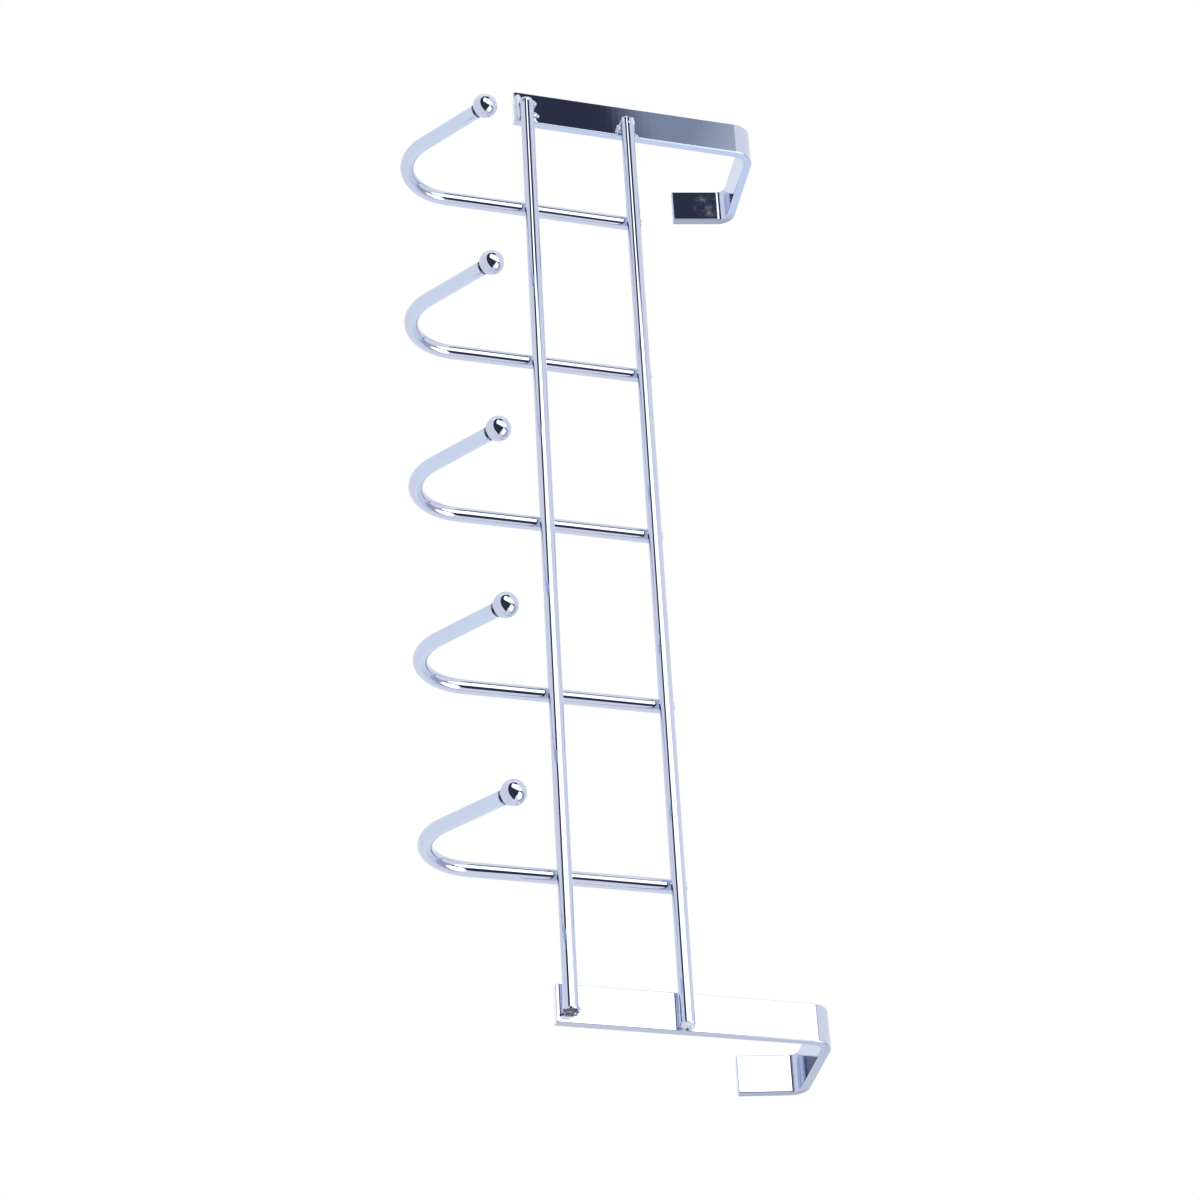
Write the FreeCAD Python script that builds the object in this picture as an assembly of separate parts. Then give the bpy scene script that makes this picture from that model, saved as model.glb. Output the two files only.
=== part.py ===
"""Rack of five coat hooks that hangs over the top of a door.

Two bent flat-bar hangers carry two round-wire rails, and five bent hook wires are
welded across the backs of the rails. Each hook wire ends in a welded-on steel ball.

Frame, in millimetres: X runs along the rails, +Y points through the door from the
room, and +Z is up. The origin lies midway between the hangers, where the door's face
meets its top edge: the hook wires rest on the plane Y = 0, and the underside of each
hanger's top section, drawn on straight, crosses that plane at Z = 0.
"""
import FreeCAD, Part
import math
import os

# Round wire and ball stock
rail_diameter = 4.8
hook_wire_diameter = 4.8
ball_diameter = 8.2

# Rails
rail_spacing = 37.2
rail_overrun_past_hanger_middle = 2.1
lower_rail_shift = 1.2
upper_rail_shift = 3.1
rail_end_chamfer = 0.4

# Flat-bar hangers
end_hook_to_hanger = 43.9
hanger_width = 13.0
hanger_thickness = 3.0
hanger_leg_height = 90.1
tail_below_lower_rail = 4.1
top_section_length = 41.8
top_rise_angle = 6.8
lip_length = 22.2
lip_splay_angle = 12.7
front_bend_radius = 5.0
back_bend_radius = 3.2
hanger_corner_radius = 0.6
hanger_edge_radius = 0.4

# Hook wires
hook_count = 5
hook_pitch = 65.0
hook_overrun_above_upper_rail = 3.8
hook_drop_below_lower_rail = 29.4
hook_bend_radius = 18.0
hook_bend_angle = 122.0
hook_tip_straight = 25.4
hook_end_chamfer = 0.4

# Welded joints: how far a wire beds into what it crosses, and the beads on the hangers
cross_weld_depth = 0.3
hanger_weld_depth = 0.2
weld_bead_radius = 0.8
weld_bead_length = 3.4
weld_bead_overrun = 0.3

# Lengths, depths and heights that follow from the sizes above
hanger_spacing = (hook_count - 1) * hook_pitch + 2 * end_hook_to_hanger
rail_length = hanger_spacing + 2 * rail_overrun_past_hanger_middle
rail_radius = rail_diameter / 2
hook_wire_radius = hook_wire_diameter / 2
ball_radius = ball_diameter / 2
hook_wire_y = -hook_wire_radius
rail_y = hook_wire_y - hook_wire_radius - rail_radius + cross_weld_depth
hanger_front_y = rail_y + rail_radius - hanger_weld_depth
rise = math.radians(top_rise_angle)
splay = math.radians(lip_splay_angle)
leg_top_z = hanger_thickness / math.cos(rise) + hanger_front_y * math.tan(rise)
tail_z = leg_top_z - hanger_leg_height
lower_rail_z = tail_z + tail_below_lower_rail
upper_rail_z = lower_rail_z + rail_spacing

X_AXIS = FreeCAD.Vector(1, 0, 0)

# How closely an edge must agree with a size to be picked for rounding
edge_tolerance = 0.001


def point(x, y, z):
    """A point or direction in the rack's frame."""
    return FreeCAD.Vector(x, y, z)


def wire_heading(turn):
    """Direction of a hook wire that has turned by an angle from straight down."""
    return point(0, -math.sin(turn), -math.cos(turn))


def rounded_path(corners, radii):
    """Wire of straight runs through the corners, with a tangent arc at each inner corner."""
    edges = []
    run_start = corners[0]
    for before, corner, after, radius in zip(corners, corners[1:], corners[2:], radii):
        back = (before - corner).normalize()
        ahead = (after - corner).normalize()
        half_opening = back.getAngle(ahead) / 2
        setback = radius / math.tan(half_opening)
        towards_centre = (back + ahead).normalize()
        arc_start = corner + back * setback
        arc_end = corner + ahead * setback
        arc_middle = corner + towards_centre * (radius / math.sin(half_opening) - radius)
        edges.append(Part.makeLine(run_start, arc_start))
        edges.append(Part.Arc(arc_start, arc_middle, arc_end).toShape())
        run_start = arc_end
    edges.append(Part.makeLine(run_start, corners[-1]))
    return Part.Wire(edges)


def lies_in_a_side(edge):
    """Whether an edge of a hanger's bar lies flat in one of its two narrow sides."""
    return edge.BoundBox.XLength < edge_tolerance


def runs_through_bar(edge):
    """Whether an edge in a narrow side runs through the bar's thickness."""
    return abs(edge.Length - hanger_thickness) < edge_tolerance


def rail(height, shift):
    """Straight round rail with its two cut ends chamfered."""
    start = point(shift - rail_length / 2, rail_y, height)
    rod = Part.makeCylinder(rail_radius, rail_length, start, X_AXIS)
    ends = [edge for edge in rod.Edges if edge.Curve.TypeId == "Part::GeomCircle"]
    return rod.makeChamfer(rail_end_chamfer, ends)


def hanger_bar(x_middle):
    """Flat bar bent over the door: front leg, rising top section and splayed back lip."""
    along_top = point(0, math.cos(rise), math.sin(rise))
    along_lip = point(0, math.sin(splay), -math.cos(splay))
    tail = point(x_middle, hanger_front_y, tail_z)
    front_corner = point(x_middle, hanger_front_y, leg_top_z)
    back_corner = front_corner + along_top * top_section_length
    lip_end = back_corner + along_lip * lip_length
    outer_radii = [front_bend_radius + hanger_thickness, back_bend_radius + hanger_thickness]
    outside = rounded_path([tail, front_corner, back_corner, lip_end], outer_radii)
    side = outside.makeOffset2D(hanger_thickness, fill=True, openResult=True)
    side.translate(point(-hanger_width / 2, 0, 0))
    bar = side.extrude(point(hanger_width, 0, 0))
    corners = [edge for edge in bar.Edges if lies_in_a_side(edge) and runs_through_bar(edge)]
    bar = bar.makeFillet(hanger_corner_radius, corners)
    rims = [edge for edge in bar.Edges if lies_in_a_side(edge) and not runs_through_bar(edge)]
    return bar.makeFillet(hanger_edge_radius, rims)


def weld_bead(rail_end, inward, rail_height, side):
    """Rounded bead tucked under a rail's end on the hanger, above or below its middle."""
    height = rail_height + side * (rail_radius - weld_bead_radius)
    start = rail_end + inward * (weld_bead_radius - weld_bead_overrun)
    outer_end = point(start, hanger_front_y, height)
    along = X_AXIS * inward
    bead = Part.makeCylinder(weld_bead_radius, weld_bead_length, outer_end, along)
    for end in (outer_end, outer_end + along * weld_bead_length):
        bead = bead.fuse(Part.makeSphere(weld_bead_radius, end))
    return bead.removeSplitter()


def hanger(hand, rails):
    """Left (-1) or right (1) hanger with its weld beads, bedded round both rails."""
    bar = hanger_bar(hand * hanger_spacing / 2)
    for height, shift in ((lower_rail_z, lower_rail_shift), (upper_rail_z, upper_rail_shift)):
        rail_end = shift + hand * rail_length / 2
        for side in (-1, 1):
            bar = bar.fuse(weld_bead(rail_end, -hand, height, side))
    return bar.cut(rails).removeSplitter()


def hook_path(x):
    """Centre line of a hook wire: down behind the rails, out into the room and up."""
    top = point(x, hook_wire_y, upper_rail_z + hook_overrun_above_upper_rail)
    bend_start = point(x, hook_wire_y, lower_rail_z - hook_drop_below_lower_rail)
    bend_centre = bend_start - point(0, hook_bend_radius, 0)
    bend = math.radians(hook_bend_angle)
    bend_middle = bend_centre + point(0, math.cos(bend / 2), -math.sin(bend / 2)) * hook_bend_radius
    bend_end = bend_centre + point(0, math.cos(bend), -math.sin(bend)) * hook_bend_radius
    tip = bend_end + wire_heading(bend) * hook_tip_straight
    arc = Part.Arc(bend_start, bend_middle, bend_end).toShape()
    return Part.Wire([Part.makeLine(top, bend_start), arc, Part.makeLine(bend_end, tip)])


def hook_wire(x, rails):
    """Hook wire bedded into the backs of both rails, with its two ends chamfered."""
    path = hook_path(x)
    top = path.Vertexes[0].Point
    section = Part.Face(Part.Wire(Part.makeCircle(hook_wire_radius, top, point(0, 0, 1))))
    wire = path.makePipe(section)
    ends = []
    for face in wire.Faces:
        if face.Surface.TypeId == "Part::GeomPlane":
            ends.extend(face.Edges)
    return wire.makeChamfer(hook_end_chamfer, ends).cut(rails)


def tip_ball(x):
    """Steel ball on the hook's tip, flattened where the end of the wire is welded to it."""
    tip = hook_path(x).Vertexes[-1].Point
    outward = wire_heading(math.radians(hook_bend_angle))
    seat_radius = hook_wire_radius - hook_end_chamfer
    seat_to_centre = math.sqrt(ball_radius ** 2 - seat_radius ** 2)
    ball = Part.makeSphere(ball_radius, tip + outward * seat_to_centre)
    behind_seat = Part.makeCylinder(ball_radius, ball_radius, tip, outward * -1)
    return ball.cut(behind_seat)


def build():
    """All pieces of the rack by name."""
    lower_rail = rail(lower_rail_z, lower_rail_shift)
    upper_rail = rail(upper_rail_z, upper_rail_shift)
    rails = Part.makeCompound([lower_rail, upper_rail])
    pieces = {
        "lower_rail": lower_rail,
        "upper_rail": upper_rail,
        "left_hanger": hanger(-1, rails),
        "right_hanger": hanger(1, rails),
    }
    for number in range(hook_count):
        x = (number - (hook_count - 1) / 2) * hook_pitch
        pieces["hook_wire_%d" % (number + 1)] = hook_wire(x, rails)
        pieces["tip_ball_%d" % (number + 1)] = tip_ball(x)
    return pieces


os.makedirs("parts", exist_ok=True)
for name, shape in build().items():
    shape.exportStep("parts/%s.step" % name)
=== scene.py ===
"""Looks of the over-door rack of coat hooks: studio, chrome plating and weld metal.

Everything is in metres in the rack's own frame: X along the rails, +Y through the
door from the room, +Z up, and the origin where the door's face meets its top edge.
Left and right are as seen from the room.
"""
import bpy
import bmesh
import math
from mathutils import Matrix, Vector, noise


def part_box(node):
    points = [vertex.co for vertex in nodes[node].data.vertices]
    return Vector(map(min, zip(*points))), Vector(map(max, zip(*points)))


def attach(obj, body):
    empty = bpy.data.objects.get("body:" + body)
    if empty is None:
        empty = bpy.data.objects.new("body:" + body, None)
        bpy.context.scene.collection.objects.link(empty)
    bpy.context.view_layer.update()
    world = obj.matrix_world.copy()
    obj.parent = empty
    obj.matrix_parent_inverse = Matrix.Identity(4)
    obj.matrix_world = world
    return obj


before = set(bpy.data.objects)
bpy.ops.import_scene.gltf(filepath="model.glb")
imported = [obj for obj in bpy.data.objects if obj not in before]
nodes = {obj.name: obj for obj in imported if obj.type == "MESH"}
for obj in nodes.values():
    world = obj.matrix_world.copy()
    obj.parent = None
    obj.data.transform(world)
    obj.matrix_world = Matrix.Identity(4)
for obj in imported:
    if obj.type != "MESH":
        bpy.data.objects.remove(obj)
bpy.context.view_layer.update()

MM = 0.001
MICRON = 0.000001
LEFT = -1
RIGHT = 1

# Places taken from the frame: the left hanger's corners and the middle hook's ball
hanger_low, hanger_high = (Vector(corner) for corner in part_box("left_hanger"))
ball_low, ball_high = (Vector(corner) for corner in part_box("tip_ball_3"))
ball_middle = (ball_low + ball_high) / 2

# Camera: where it stands, the directions of its picture's right edge and lower edge, its
# lens and sensor in millimetres, and how near and far it sees
camera_place = Vector((0.60961, -0.93459, -0.36955))
picture_right = Vector((0.04934, -0.28184, 0.95819))
picture_down = Vector((0.85828, 0.50261, 0.10364))
camera_lens = 104.16
sensor_width = 36.0
clip_near = 0.05
clip_far = 60.0

# Studio: a white tent, a floor far below, and cards on spheres round the middle ball
floor_height = -2.0
floor_radius = 12.0
floor_segments = 96
lamp_radius = 1.05
opening_radius = 1.15
edge_radius = 1.20
wall_radius = 1.25
card_rings = 10
fine_card_rings = 36
soft_rim_rings = 4
outline_steps = 6
lamp_strength = 2.2
tent_white = (1.0, 1.0, 1.0)
floor_colour = (0.97, 0.97, 0.97)
dark_opening_colour = (0.042, 0.044, 0.070)
blue_shade_colour = (0.33, 0.37, 0.45)
grey_edge_colour = (0.52, 0.53, 0.56)
bright_wall_colour = (1.24, 1.20, 1.12)
dim_wall_colour = (0.84, 0.89, 0.96)

# Chrome plating, cool and slightly blue, bluer on the hooks' arms as a painted reflection
# tint, and the duller metal where it wears thin
chrome_colour = (0.58, 0.63, 0.78)
arm_reflection_tint = (0.585, 0.669, 0.836)
worn_colour = (0.48, 0.45, 0.48)

# Sheared sides of the bars, darker on the right hanger with painted shade; a painted reflection
# tint on the faces that look up or down, and a painted highlight on the ground tail ends
left_side_colour = (0.55, 0.63, 0.86)
right_side_shade_colour = (0.48, 0.53, 0.66)
lip_side_shade_colour = (0.38, 0.42, 0.54)
level_reflection_tint = (0.52, 0.60, 0.82)
tail_end_highlight_colour = (0.90, 0.91, 0.96)

# Raw ends of the rails, and the groove between a hook wire and its ball, dark from its weld
# joint and from painted shade
cut_end_colour = (0.19, 0.19, 0.24)
neck_joint_and_shade_colour = (0.12, 0.13, 0.18)

# Weld metal, darker and lighter: burnt, dull, and plated but dull
burnt_colour = (0.20, 0.20, 0.25)
scorched_colour = (0.50, 0.46, 0.49)
dull_colour = (0.52, 0.57, 0.69)
pale_colour = (0.73, 0.77, 0.89)
shaded_white = (0.70, 0.72, 0.78)
plated_white = (0.88, 0.90, 0.96)

# Roughness of the finishes
ball_roughness = 0.015
ball_haze_roughness = 0.06
wire_roughness = 0.03
cut_end_roughness = 0.5
neck_roughness = 0.35
bar_roughness = 0.04
lip_haze_roughness = 0.18
level_roughness = 0.11
side_roughness = 0.32

# Hook wires: the degrees they have turned by at the ball, the distances behind the ball's
# middle where the groove's dark, a weld joint with painted shade, is full and where it ends,
# and where the arms turn bluer with a painted reflection tint
hook_tip_angle = 122.0
neck_dark = 3.95 * MM
neck_clear = 4.2 * MM
arm_begins = -12 * MM
arm_full = -27 * MM

# Hangers: a hazy patch on the left lip, the sides behind the door darker with painted shade,
# and the tails, whose end faces get a painted highlight
lip_haze_place = Vector((
    (hanger_low.x + hanger_high.x) / 2, hanger_high.y - 5.6 * MM, hanger_high.z - 8.3 * MM))
lip_haze_radius = 8 * MM
lip_begins = hanger_high.y - 11.6 * MM
lip_full = lip_begins + 5 * MM
tail_begins = hanger_low.z + 0.64 * MM
tail_full = tail_begins - 0.3 * MM

# How squarely a face looks along an axis where the mask for it begins, and where it is full
facing_begins = 0.80
facing_full = 0.97

# Outlines of what stands round the camera, as the ball on the middle hook mirrors them:
# (right, down) from the ball's middle as the camera sees it, as shares of its radius
dark_opening_outline = (
    (-0.40, -0.25), (-0.38, -0.48), (-0.29, -0.66), (-0.10, -0.78), (0.14, -0.76),
    (0.25, -0.70), (0.30, -0.63), (0.42, -0.48), (0.61, -0.27), (0.62, -0.05),
    (0.50, 0.12), (0.24, 0.17), (0.14, 0.28), (0.03, 0.46), (-0.18, 0.24), (-0.33, 0.00),
)
blue_shade_outline = (
    (0.12, -0.80), (0.26, -0.77), (0.345, -0.69), (0.36, -0.60), (0.30, -0.54), (0.16, -0.60),
)
grey_edge_outline = (
    (0.56, -0.10), (0.68, -0.02), (0.74, 0.20), (0.66, 0.46), (0.44, 0.62),
    (0.27, 0.58), (0.24, 0.48), (0.30, 0.20),
)
long_lamp_outline = (
    (-0.14, -0.41), (-0.13, -0.60), (-0.06, -0.69), (0.03, -0.68), (0.10, -0.62),
    (0.25, -0.60), (0.38, -0.51), (0.60, -0.27), (0.62, -0.06), (0.46, -0.10),
    (0.27, -0.17), (0.12, -0.26),
)
round_lamp_outline = (
    (0.42, -0.08), (0.53, 0.02), (0.58, 0.20), (0.50, 0.42), (0.34, 0.50),
    (0.26, 0.46), (0.24, 0.34), (0.26, 0.20), (0.30, 0.09), (0.36, -0.03),
)
bright_wall_outline = (
    (-0.70, -0.60), (-0.45, -0.82), (0.00, -0.95), (0.45, -0.85), (0.62, -0.70),
    (0.30, -0.72), (-0.20, -0.70),
)
dim_wall_outline = (
    (0.80, -0.05), (0.93, 0.25), (0.76, 0.60), (0.40, 0.88), (0.10, 0.92),
    (0.20, 0.60), (0.60, 0.30),
)

# Weld metal at the four joints of rails and hangers, in lumps of (along, across, out,
# length, width, height, turn): millimetres from the rail's end toward the rack's middle,
# up from the rail's middle line and out from the hanger's face, then three half sizes,
# then degrees
left_lower_seam = (
    (1.8, -3.0, 0.0, 6.0, 1.3, 1.2, 0), (4.0, -2.7, 0.2, 3.9, 1.4, 1.3, 0),
    (-0.8, -2.7, 0.2, 3.4, 1.4, 1.3, 0),
)
left_lower_weld = (
    (0.5, -0.3, 2.4, 1.6, 2.5, 2.4, 0), (1.6, 1.5, 2.6, 1.5, 1.2, 1.7, 0),
    (-0.3, 0.9, 1.6, 1.1, 1.7, 1.4, 0), (-0.9, 2.6, 0.5, 1.4, 1.5, 0.8, -20),
    (-1.2, 3.8, 0.2, 0.7, 0.6, 0.4, 0), (1.5, 2.4, 0.6, 2.0, 0.7, 0.9, 0),
    (4.0, 3.2, 0.3, 1.1, 1.2, 0.7, 0), (4.1, 4.5, 0.1, 0.6, 0.7, 0.35, 0),
    (5.8, 3.0, 0.3, 1.2, 0.9, 0.6, 0), (6.7, 3.6, 0.1, 0.5, 0.9, 0.35, 0),
)
left_upper_weld = (
    (3.0, -2.5, 0.4, 1.9, 1.0, 1.1, 12), (4.2, -3.4, 0.2, 1.0, 0.45, 0.5, 25),
    (1.2, -1.7, 2.8, 2.0, 0.8, 1.2, 0), (1.4, 1.9, 2.6, 2.2, 0.7, 1.3, 0),
    (0.4, -0.9, 2.5, 1.1, 1.4, 2.2, 0), (0.5, 1.2, 2.5, 1.2, 1.2, 2.1, 0),
    (2.4, 0.0, 4.3, 0.7, 0.6, 0.4, 0), (2.0, 2.6, 0.5, 2.6, 0.7, 1.0, 0),
    (4.3, 3.6, 0.1, 0.9, 0.35, 0.3, 30), (4.9, 4.5, 0.1, 0.8, 0.3, 0.25, 30),
)
right_lower_weld = ((0.9, 2.6, 1.2, 1.0, 0.7, 1.1, 0), (1.8, 2.3, 0.8, 1.2, 0.5, 0.8, 0))
right_lower_burn = ((0.4, -0.3, 0.9, 0.75, 1.8, 1.1, 0), (0.4, 0.9, 0.8, 0.65, 1.3, 0.9, 0))
right_lower_mound = ((-1.4, -0.7, 0.0, 0.8, 2.3, 0.35, 0),)
right_upper_weld = ((-0.1, 1.2, 1.0, 0.8, 1.2, 1.2, 0), (0.8, 2.2, 0.9, 0.8, 0.6, 0.9, 0))
right_upper_seam = ((0.2, 0.0, 2.2, 0.6, 2.3, 2.3, 0), (0.1, -0.9, 0.8, 0.8, 1.3, 1.0, 0))

# How deep the rails bed into the hangers, how far a lump bulges in and out as a share of
# its size, how fine the bulges are, how much they differ from place to place, and how the
# lumps are melted together
weld_depth = 0.2 * MM
weld_unevenness = 0.16
seam_unevenness = 0.07
bulge_fineness = 1.7
bulge_change = 900
lump_subdivisions = 4
melt_voxel = 0.15 * MM
melt_softening = 6


def set_camera():
    """Camera at the viewing angle of the photograph, turned on its side."""
    toward_back = picture_right.cross(-picture_down).normalized()
    right = picture_right.normalized()
    up = toward_back.cross(right)
    turn = Matrix((right, up, toward_back)).transposed()
    data = bpy.data.cameras.new("camera")
    data.lens = camera_lens
    data.sensor_width = sensor_width
    data.clip_start = clip_near
    data.clip_end = clip_far
    camera = bpy.data.objects.new("camera", data)
    camera.matrix_world = Matrix.Translation(camera_place) @ turn.to_4x4()
    bpy.context.scene.collection.objects.link(camera)
    bpy.context.scene.camera = camera


def new_object(name, mesh, material):
    """Object of a finished bmesh in one material, linked to the scene."""
    data = bpy.data.meshes.new(name)
    mesh.to_mesh(data)
    mesh.free()
    data.materials.append(material)
    made = bpy.data.objects.new(name, data)
    bpy.context.scene.collection.objects.link(made)
    return made


class Nodes:
    """Short way to add and link the nodes of one material or world."""

    def __init__(self, tree):
        self.tree = tree
        tree.nodes.clear()

    def add(self, kind, **settings):
        """Node of a kind, with properties by name and inputs as in_0, in_Scale and so on."""
        node = self.tree.nodes.new(kind)
        for key, value in settings.items():
            if not key.startswith("in_"):
                setattr(node, key, value)
        for key, value in settings.items():
            if key.startswith("in_"):
                label = key[3:].replace("_", " ")
                socket = node.inputs[int(label)] if label.isdigit() else node.inputs[label]
                if isinstance(value, bpy.types.NodeSocket):
                    self.tree.links.new(value, socket)
                else:
                    socket.default_value = value
        return node


def new_material(name):
    """Material with an empty node tree, and the helper for its nodes."""
    material = bpy.data.materials.new(name)
    material.use_nodes = True
    return material, Nodes(material.node_tree)


def set_world():
    """White studio tent all round, which is light, reflection and background in one."""
    world = bpy.data.worlds.new("tent")
    world.use_nodes = True
    bpy.context.scene.world = world
    tree = Nodes(world.node_tree)
    tent = tree.add("ShaderNodeBackground", in_Color=(*tent_white, 1), in_Strength=1.0)
    tree.add("ShaderNodeOutputWorld", in_Surface=tent.outputs[0])


def studio_floor():
    """Wide pale floor far below the rack."""
    material, tree = new_material("floor_paper")
    paper = tree.add("ShaderNodeBsdfDiffuse", in_Color=(*floor_colour, 1))
    tree.add("ShaderNodeOutputMaterial", in_Surface=paper.outputs[0])
    mesh = bmesh.new()
    bmesh.ops.create_circle(mesh, cap_ends=True, segments=floor_segments, radius=floor_radius)
    bmesh.ops.translate(mesh, verts=mesh.verts, vec=(0, 0, floor_height))
    new_object("floor", mesh, material)


def mirrored(spot):
    """Direction that the middle hook's ball mirrors at a spot (right, down) of its face."""
    ball_front = (camera_place - ball_middle).normalized()
    ball_right = (picture_right - picture_right.dot(ball_front) * ball_front).normalized()
    ball_down = ball_right.cross(ball_front)
    right, down = spot
    toward = math.sqrt(max(0.0, 1 - right * right - down * down))
    seen = Vector((2 * toward * right, 2 * toward * down, 2 * toward * toward - 1))
    return seen.x * ball_right + seen.y * ball_down + seen.z * ball_front


def smooth_outline(corners):
    """Closed curve that runs smoothly through the corners."""
    count = len(corners)
    curve = []
    for i in range(count):
        before, start, end, after = (Vector(corners[(i + k) % count]) for k in (-1, 0, 1, 2))
        for step in range(outline_steps):
            t = step / outline_steps
            slope = (end - before) * t
            bend = (2 * before - 5 * start + 4 * end - after) * t ** 2
            twist = (3 * (start - end) + after - before) * t ** 3
            curve.append(start + (slope + bend + twist) / 2)
    return curve


def card_material(name, colour, strength):
    """Plain glowing card whose rim fades out."""
    material, tree = new_material(name)
    glow = tree.add("ShaderNodeEmission", in_Color=(*colour, 1), in_Strength=strength)
    clear = tree.add("ShaderNodeBsdfTransparent")
    fade = tree.add("ShaderNodeAttribute", attribute_name="fade")
    mix = tree.add(
        "ShaderNodeMixShader", in_0=fade.outputs["Fac"],
        in_1=clear.outputs[0], in_2=glow.outputs[0])
    tree.add("ShaderNodeOutputMaterial", in_Surface=mix.outputs[0])
    return material


def studio_card(name, outline, radius, colour, strength=1.0, rings=card_rings, rim_rings=1):
    """Curved card on a sphere round the middle ball, fading out over its outermost rings."""
    middle = sum((Vector(corner) for corner in outline), Vector((0, 0))) / len(outline)
    rim = smooth_outline(outline)
    mesh = bmesh.new()
    fade = mesh.verts.layers.float.new("fade")
    rows = []
    for ring in range(rings + 1):
        row = []
        for corner in rim:
            spot = middle.lerp(corner, ring / rings)
            vertex = mesh.verts.new(ball_middle + mirrored(spot) * radius)
            vertex[fade] = min(1.0, (rings - ring) / rim_rings)
            row.append(vertex)
        rows.append(row)
    for inner, outer in zip(rows, rows[1:]):
        for i in range(len(rim)):
            j = (i + 1) % len(rim)
            mesh.faces.new((inner[i], inner[j], outer[j], outer[i]))
    card = new_object(name, mesh, card_material(name, colour, strength))
    card.visible_camera = False
    card.visible_diffuse = False
    card.visible_shadow = False


def studio_cards():
    """What the chrome mirrors: a dark opening with soft edges, two walls and two lamps."""
    studio_card(
        "dark_opening", dark_opening_outline, opening_radius, dark_opening_colour,
        rings=fine_card_rings)
    studio_card(
        "blue_shade", blue_shade_outline, edge_radius, blue_shade_colour,
        rim_rings=soft_rim_rings)
    studio_card("grey_edge", grey_edge_outline, edge_radius, grey_edge_colour)
    studio_card(
        "bright_wall", bright_wall_outline, wall_radius, bright_wall_colour,
        rim_rings=soft_rim_rings)
    studio_card(
        "dim_wall", dim_wall_outline, wall_radius, dim_wall_colour,
        rim_rings=soft_rim_rings)
    studio_card("long_lamp", long_lamp_outline, lamp_radius, tent_white, lamp_strength)
    studio_card(
        "round_lamp", round_lamp_outline, lamp_radius, tent_white, lamp_strength,
        rim_rings=2)


def spots(tree, scale, low=0.3, high=0.7, stretch=(1, 1, 1), detail=4.0):
    """Soft noise between 0 and 1 in the rack's own frame, stretched along the axes."""
    place = tree.add("ShaderNodeTexCoord")
    stretched = tree.add(
        "ShaderNodeMapping", in_Vector=place.outputs["Object"], in_Scale=stretch)
    cloud = tree.add(
        "ShaderNodeTexNoise", in_Vector=stretched.outputs[0], in_Scale=scale, in_Detail=detail)
    return tree.add(
        "ShaderNodeMapRange", in_Value=cloud.outputs["Fac"],
        in_From_Min=low, in_From_Max=high).outputs[0]


def facing(tree, axis):
    """Mask of the flat faces that look along an axis of the rack, either way."""
    surface = tree.add("ShaderNodeNewGeometry")
    parts = tree.add("ShaderNodeSeparateXYZ", in_Vector=surface.outputs["True Normal"])
    size = tree.add("ShaderNodeMath", operation="ABSOLUTE", in_0=parts.outputs[axis])
    return tree.add(
        "ShaderNodeMapRange", in_Value=size.outputs[0],
        in_From_Min=facing_begins, in_From_Max=facing_full).outputs[0]


def past(tree, axis, start, full):
    """Mask that rises from 0 to 1 between two places along an axis of the rack."""
    here = tree.add("ShaderNodeTexCoord").outputs["Object"]
    parts = tree.add("ShaderNodeSeparateXYZ", in_Vector=here)
    return tree.add(
        "ShaderNodeMapRange", in_Value=parts.outputs[axis],
        in_From_Min=start, in_From_Max=full).outputs[0]


def near(tree, place, radius, core=0.4):
    """Mask that is 1 in the core round a place in the rack and falls to 0 at a radius."""
    here = tree.add("ShaderNodeTexCoord").outputs["Object"]
    away = tree.add("ShaderNodeVectorMath", operation="DISTANCE", in_0=here, in_1=place)
    return tree.add(
        "ShaderNodeMapRange", in_Value=away.outputs["Value"],
        in_From_Min=core * radius, in_From_Max=radius, in_To_Min=1.0, in_To_Max=0.0).outputs[0]


def hook_neck(tree):
    """Mask of the end of a hook wire, in the groove behind its ball, alike on all hooks: a dark
    weld joint with painted shade.
    """
    turn = math.radians(hook_tip_angle)
    back = Vector((0, math.sin(turn), math.cos(turn)))
    here = tree.add("ShaderNodeTexCoord").outputs["Object"]
    from_ball = tree.add(
        "ShaderNodeVectorMath", operation="SUBTRACT", in_0=here, in_1=ball_middle)
    behind = tree.add(
        "ShaderNodeVectorMath", operation="DOT_PRODUCT",
        in_0=from_ball.outputs[0], in_1=back)
    return tree.add(
        "ShaderNodeMapRange", in_Value=behind.outputs["Value"],
        in_From_Min=neck_dark, in_From_Max=neck_clear,
        in_To_Min=1.0, in_To_Max=0.0).outputs[0]


def mixed(tree, mask, plain, other):
    """Number, fixed or varying, that goes from plain to other with a mask."""
    return tree.add(
        "ShaderNodeMix", data_type="FLOAT", in_0=mask, in_2=plain, in_3=other).outputs[0]


def mixed_colour(tree, mask, plain, other):
    """Colour that goes from plain to other with a mask."""
    mix = tree.add("ShaderNodeMix", data_type="RGBA", in_0=mask)
    for index, colour in ((6, plain), (7, other)):
        if isinstance(colour, bpy.types.NodeSocket):
            tree.tree.links.new(colour, mix.inputs[index])
        else:
            mix.inputs[index].default_value = (*colour, 1)
    return mix.outputs[2]


def bump(tree, relief, depth):
    """Surface bump that follows a relief between 0 and 1, to a depth in metres."""
    return tree.add(
        "ShaderNodeBump", in_Height=relief, in_Distance=depth, in_Strength=1.0).outputs[0]


def metal_output(tree, colour, roughness, normal):
    """Metal with a colour, roughness and bump that vary over the surface."""
    metal = tree.add(
        "ShaderNodeBsdfPrincipled", in_Base_Color=colour, in_Metallic=1.0,
        in_Roughness=roughness, in_Normal=normal)
    tree.add("ShaderNodeOutputMaterial", in_Surface=metal.outputs[0])


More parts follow.
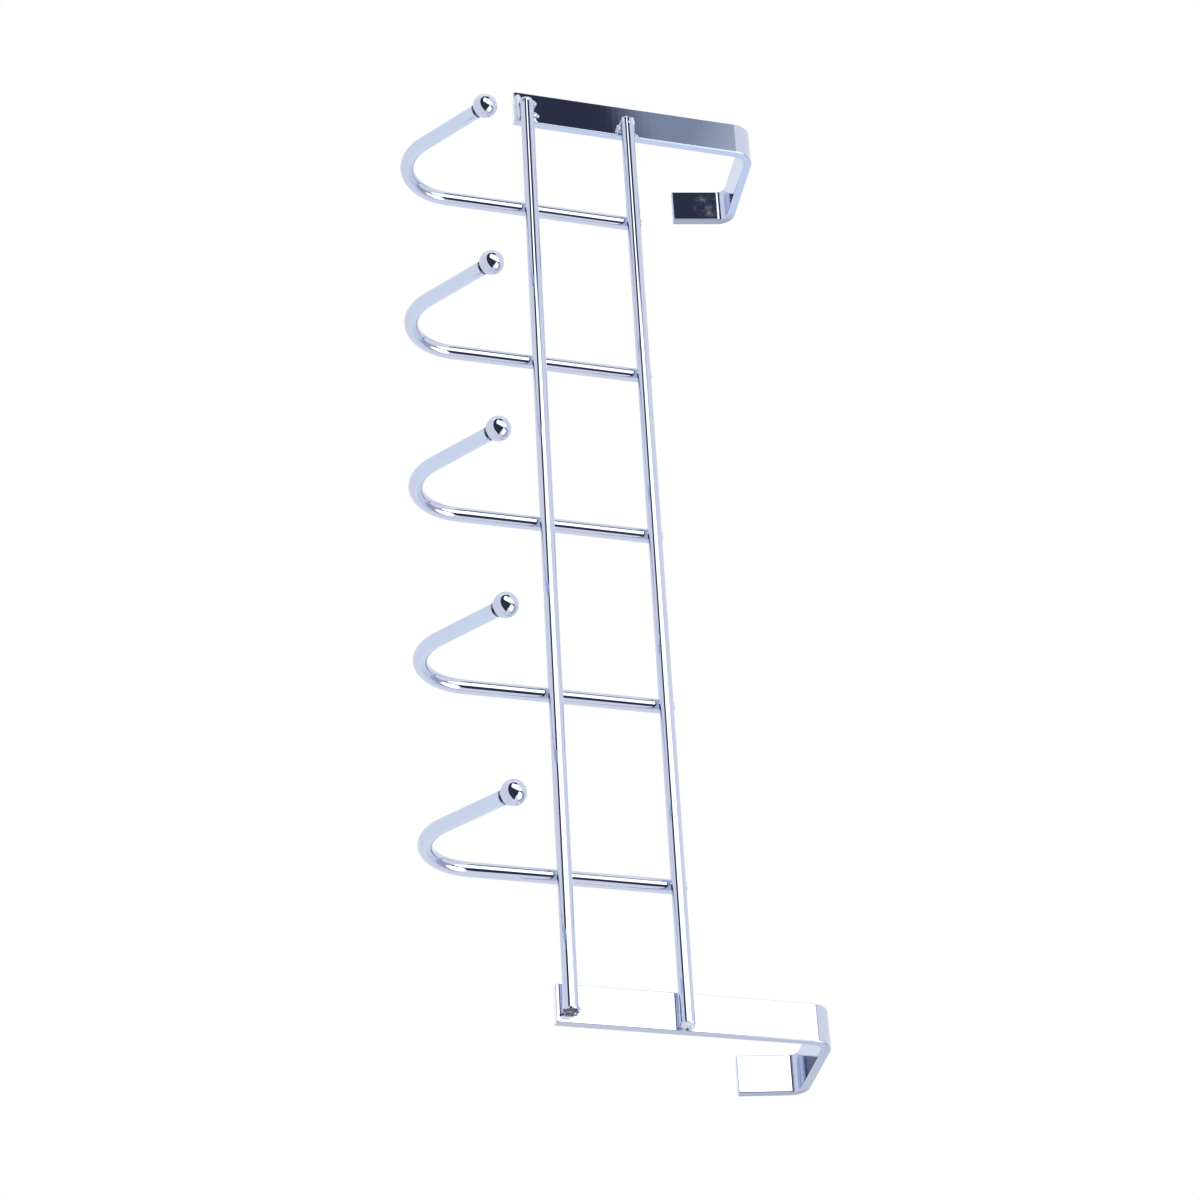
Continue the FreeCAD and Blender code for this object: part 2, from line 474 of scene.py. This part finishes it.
def ball_chrome():
    """Clean mirror plating of the steel balls with a breath of haze."""
    material, tree = new_material("ball_chrome")
    haze = spots(tree, scale=260.0, low=0.45, high=0.75)
    metal_output(
        tree, colour=(*chrome_colour, 1),
        roughness=mixed(tree, haze, ball_roughness, ball_haze_roughness),
        normal=bump(tree, haze, depth=1 * MICRON))
    return material


def wire_chrome():
    """Drawn wire under chrome: faint lengthwise ripple, small marks and raw cut ends."""
    material, tree = new_material("wire_chrome")
    cut = facing(tree, "X")
    marks = spots(tree, scale=310.0, low=0.68, high=0.76)
    ripple = spots(tree, scale=240.0, stretch=(0.2, 1, 1))
    rough_end = spots(tree, scale=2600.0)
    plating = mixed_colour(tree, marks, chrome_colour, worn_colour)
    metal_output(
        tree, colour=mixed_colour(tree, cut, plating, cut_end_colour),
        roughness=mixed(tree, cut, wire_roughness, cut_end_roughness),
        normal=bump(tree, mixed(tree, cut, ripple, rough_end), depth=3 * MICRON))
    return material


def hook_chrome():
    """The same plating on the bent hook wires, bluer on the arm with a painted reflection tint,
    and dark behind the ball from the weld joint and painted shade.
    """
    material, tree = new_material("hook_chrome")
    neck = hook_neck(tree)
    arm = past(tree, "Y", arm_begins, arm_full)
    marks = spots(tree, scale=290.0, low=0.74, high=0.84)
    ripple = spots(tree, scale=220.0, stretch=(1, 0.25, 0.25))
    # Painted reflection tint: the arms bluer than the rest of the wire
    plating_with_arm_tint = mixed_colour(tree, arm, chrome_colour, arm_reflection_tint)
    plating = mixed_colour(tree, marks, plating_with_arm_tint, worn_colour)
    # Dark weld joint with painted shade in the groove behind the ball
    metal_output(
        tree, colour=mixed_colour(tree, neck, plating, neck_joint_and_shade_colour),
        roughness=mixed(tree, neck, wire_roughness, neck_roughness),
        normal=bump(tree, ripple, depth=2 * MICRON))
    return material


def bar_chrome(name, side_colour):
    """Flat bar: rolling streaks across its face, a hazy patch and rough sheared sides, with
    painted shade on the sides behind the door, a painted reflection tint on the faces that look
    up or down and a painted highlight on the tail ends.
    """
    material, tree = new_material(name)
    side = facing(tree, "X")
    level = facing(tree, "Z")
    streaks = spots(tree, scale=900.0, stretch=(0.06, 1, 1), detail=6.0)
    shear = spots(tree, scale=700.0, stretch=(1, 0.5, 1), detail=6.0)
    cloud = spots(tree, scale=330.0, low=0.33, high=0.62)
    lip_haze = tree.add(
        "ShaderNodeMath", operation="MULTIPLY",
        in_0=near(tree, lip_haze_place, lip_haze_radius), in_1=cloud).outputs[0]
    face_roughness = mixed(tree, lip_haze, bar_roughness, lip_haze_roughness)
    smooth = mixed(tree, level, face_roughness, level_roughness)
    # Painted reflection tint on the faces that look up or down, and a painted highlight on the
    # tail ends
    tail_end = past(tree, "Z", tail_begins, tail_full)
    levels = mixed_colour(tree, tail_end, level_reflection_tint, tail_end_highlight_colour)
    faces = mixed_colour(tree, level, chrome_colour, levels)
    # Painted shade on the sides behind the door
    shaded_behind_door = past(tree, "Y", lip_begins, lip_full)
    sides = mixed_colour(tree, shaded_behind_door, side_colour, lip_side_shade_colour)
    metal_output(
        tree, colour=mixed_colour(tree, side, faces, sides),
        roughness=mixed(tree, side, smooth, side_roughness),
        normal=bump(tree, mixed(tree, side, streaks, shear), depth=0.9 * MICRON))
    return material


def weld_chrome():
    """Plated weld metal, bright but grainy."""
    material, tree = new_material("weld_chrome")
    grain = spots(tree, scale=1500.0)
    stain = spots(tree, scale=500.0, low=0.58, high=0.75)
    metal_output(
        tree, colour=mixed_colour(tree, stain, chrome_colour, worn_colour),
        roughness=mixed(tree, grain, plain=0.12, other=0.32),
        normal=bump(tree, grain, depth=12 * MICRON))
    return material


def dull_weld(name, dark, light):
    """Pale, dull weld metal with a few darker grains."""
    material, tree = new_material(name)
    grain = spots(tree, scale=900.0, low=0.26, high=0.44)
    metal_output(
        tree, colour=mixed_colour(tree, grain, dark, light),
        roughness=mixed(tree, grain, plain=0.65, other=0.55),
        normal=bump(tree, grain, depth=5 * MICRON))
    return material


def burnt_weld():
    """Weld metal that the plating has not taken: dark, dull and pitted."""
    material, tree = new_material("burnt_weld")
    pits = spots(tree, scale=1800.0)
    metal_output(
        tree, colour=mixed_colour(tree, pits, burnt_colour, scorched_colour),
        roughness=mixed(tree, pits, plain=0.5, other=0.7),
        normal=bump(tree, pits, depth=30 * MICRON))
    return material


def finish_nodes():
    """Chrome on every piece that comes from the CAD model, by kind of piece."""
    kinds = {
        "rail": wire_chrome(),
        "left_hanger": bar_chrome("left_bar_chrome", left_side_colour),
        # Right hanger's sides darker with painted shade
        "right_hanger": bar_chrome("right_bar_chrome_shaded_sides", right_side_shade_colour),
        "hook_wire": hook_chrome(),
        "tip_ball": ball_chrome(),
    }
    for name, node in nodes.items():
        for kind, material in kinds.items():
            if kind in name:
                for slot in node.material_slots:
                    slot.material = material


def weld_flash(name, rail, hand, lumps, unevenness, material):
    """Weld metal squeezed out round a rail's end: uneven lumps melted into one mesh."""
    low, high = (Vector(corner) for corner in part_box(rail))
    end = Vector((low.x if hand == LEFT else high.x, high.y - weld_depth, (low.z + high.z) / 2))
    mesh = bmesh.new()
    for along, across, out, length, width, height, turn in lumps:
        grown = bmesh.ops.create_icosphere(mesh, subdivisions=lump_subdivisions, radius=1.0)
        middle = end + Vector((-hand * along, -out, across)) * MM
        turned = Matrix.Rotation(math.radians(turn) * hand, 3, "Y")
        for vertex in grown["verts"]:
            wave = noise.noise(vertex.co * bulge_fineness + middle * bulge_change)
            bulge = 1 + unevenness * wave
            spot = Vector((vertex.co.x * length, vertex.co.y * height, vertex.co.z * width))
            vertex.co = middle + turned @ spot * bulge * MM
    piece = new_object(name, mesh, material)
    melt = piece.modifiers.new("melt", "REMESH")
    melt.mode = "VOXEL"
    melt.voxel_size = melt_voxel
    melt.use_smooth_shade = True
    soften = piece.modifiers.new("soften", "SMOOTH")
    soften.iterations = melt_softening
    melted = bpy.data.meshes.new_from_object(
        piece.evaluated_get(bpy.context.evaluated_depsgraph_get()))
    piece.modifiers.clear()
    piece.data = melted
    melted.materials.clear()
    melted.materials.append(material)
    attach(piece, "root")


def weld_joints():
    """Plated lumps at all four joints, dull seams and a mound, and one burnt end."""
    plated = weld_chrome()
    weld_flash("left_lower_weld", "lower_rail", LEFT, left_lower_weld, weld_unevenness, plated)
    weld_flash("left_upper_weld", "upper_rail", LEFT, left_upper_weld, weld_unevenness, plated)
    weld_flash("right_lower_weld", "lower_rail", RIGHT, right_lower_weld, weld_unevenness, plated)
    weld_flash("right_upper_weld", "upper_rail", RIGHT, right_upper_weld, weld_unevenness, plated)
    dull = dull_weld("dull_weld", dull_colour, pale_colour)
    weld_flash("left_lower_seam", "lower_rail", LEFT, left_lower_seam, seam_unevenness, dull)
    weld_flash("right_upper_seam", "upper_rail", RIGHT, right_upper_seam, seam_unevenness, dull)
    pale = dull_weld("plated_weld", shaded_white, plated_white)
    weld_flash("right_lower_mound", "lower_rail", RIGHT, right_lower_mound, seam_unevenness, pale)
    burnt = burnt_weld()
    weld_flash("right_lower_burn", "lower_rail", RIGHT, right_lower_burn, weld_unevenness, burnt)


set_camera()
set_world()
studio_floor()
studio_cards()
finish_nodes()
weld_joints()

bpy.context.scene.view_settings.view_transform = "Standard"
